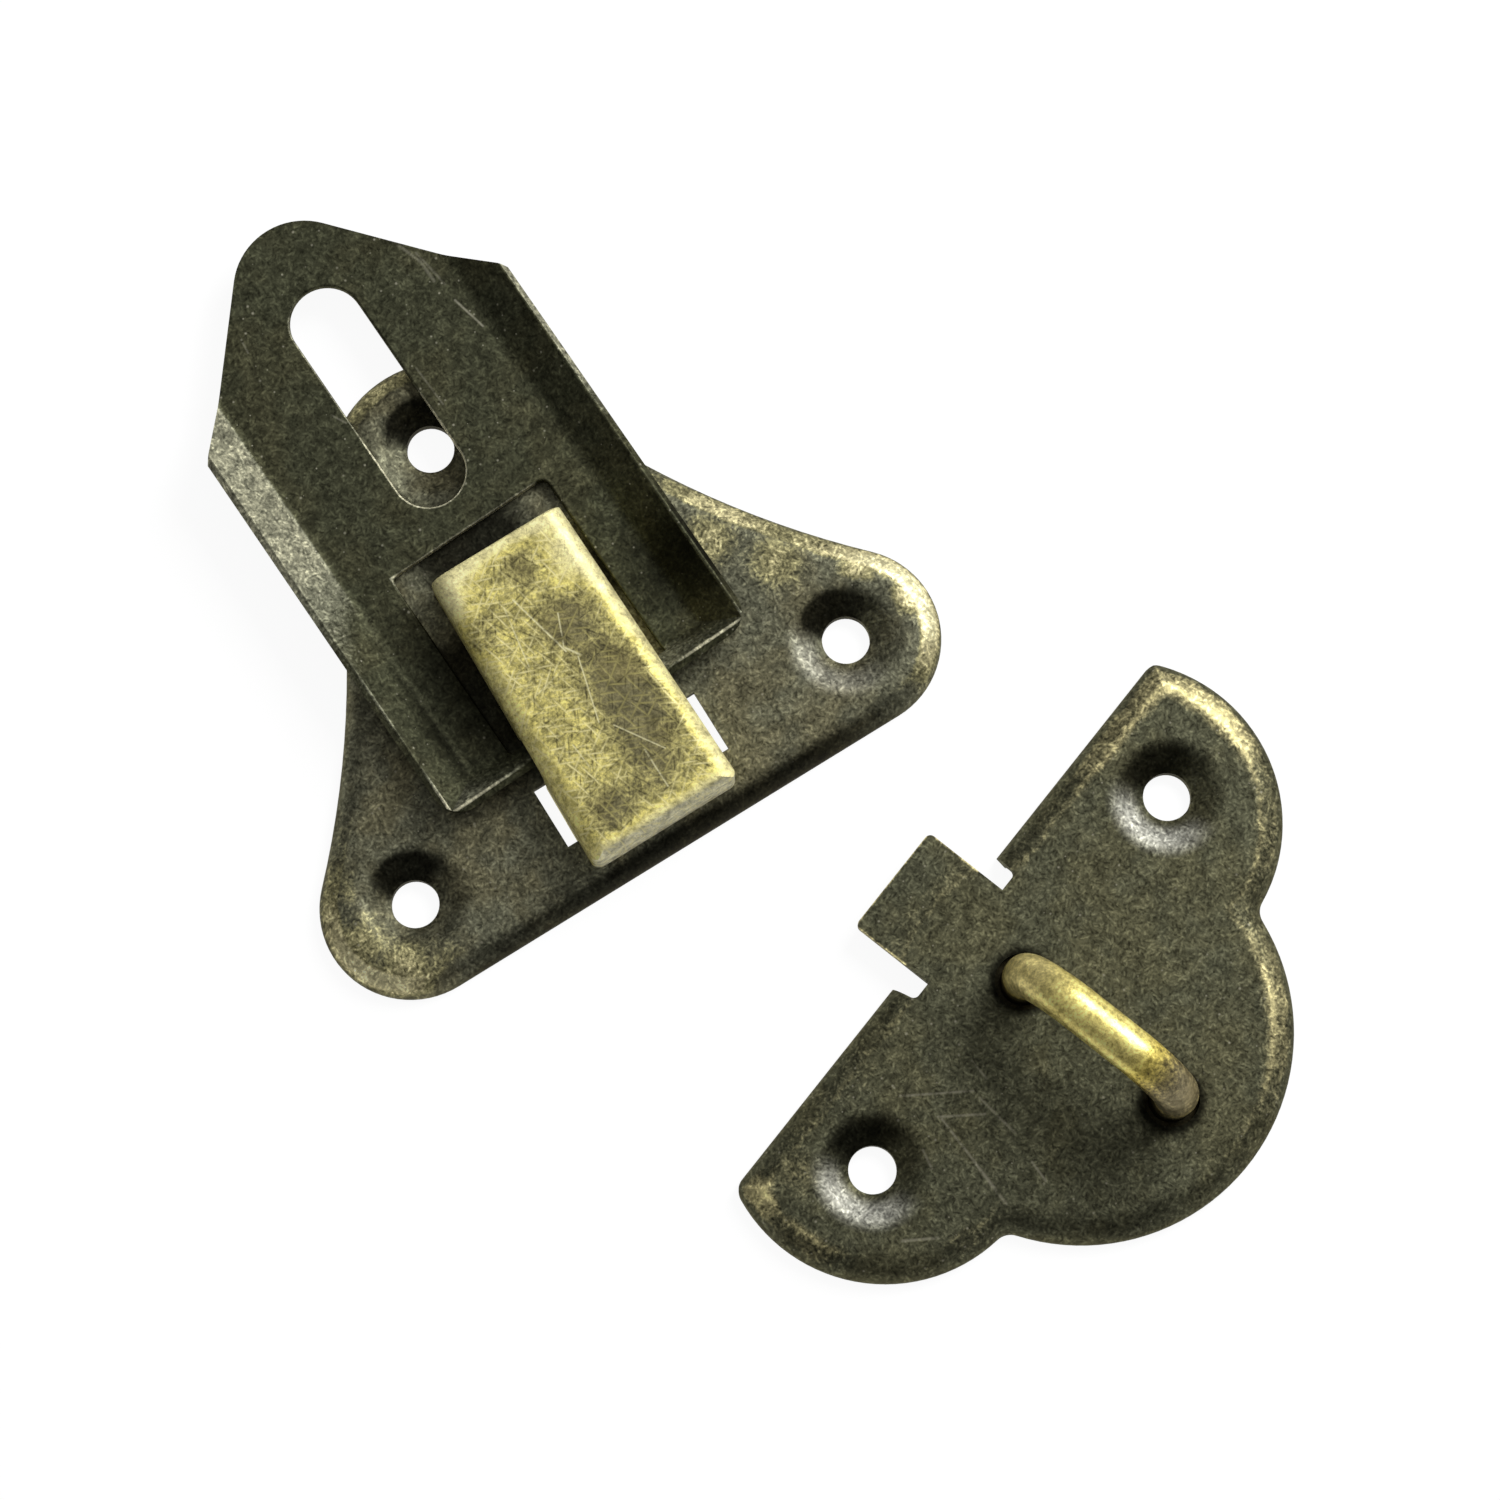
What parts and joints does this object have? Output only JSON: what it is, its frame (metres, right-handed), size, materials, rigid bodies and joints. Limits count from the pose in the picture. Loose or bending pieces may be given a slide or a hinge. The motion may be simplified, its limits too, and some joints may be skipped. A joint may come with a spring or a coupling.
{
  "type": "toggle latch",
  "caption": "Surface-mounted toggle latch for boxes: triangular base plate with a swinging slotted lever under a bridge cap, and a lobed strike plate with a padlock staple.",
  "frame": {"origin": "midway between the two ear screw holes of the base plate, on the mounting plane", "axes": "+X along the row of ear screws, +Y to the nose of the base plate, +Z away from the mounting surface"},
  "size_m": [0.0562, 0.0827, 0.0105],
  "materials": {
    "base_bronze": "antique bronze plated sheet steel, rubbed bright on the rims",
    "cap_brass": "antique brass plated sheet steel, rubbed bright",
    "spring_steel": "plain spring steel",
    "lever_bronze": "dark antique bronze plated sheet steel",
    "strike_bronze": "antique bronze plated sheet steel, rubbed bright on the rims",
    "staple_brass": "antique brass plated steel wire"
  },
  "bodies": {
    "base": {"base_plate": "base_bronze", "bridge_cap": "cap_brass", "leaf_spring": "spring_steel", "strike_plate": "strike_bronze", "staple": "staple_brass"},
    "lever": {"lever": "lever_bronze"}
  },
  "joints": [
    {"name": "lever_hinge", "type": "hinge", "parent": "base", "child": "lever", "pos_m": [-0.0001, 0.0036, 0.0035], "axis": [0.999, 0.0436, 0], "range_deg": [0, 180]}
  ]
}
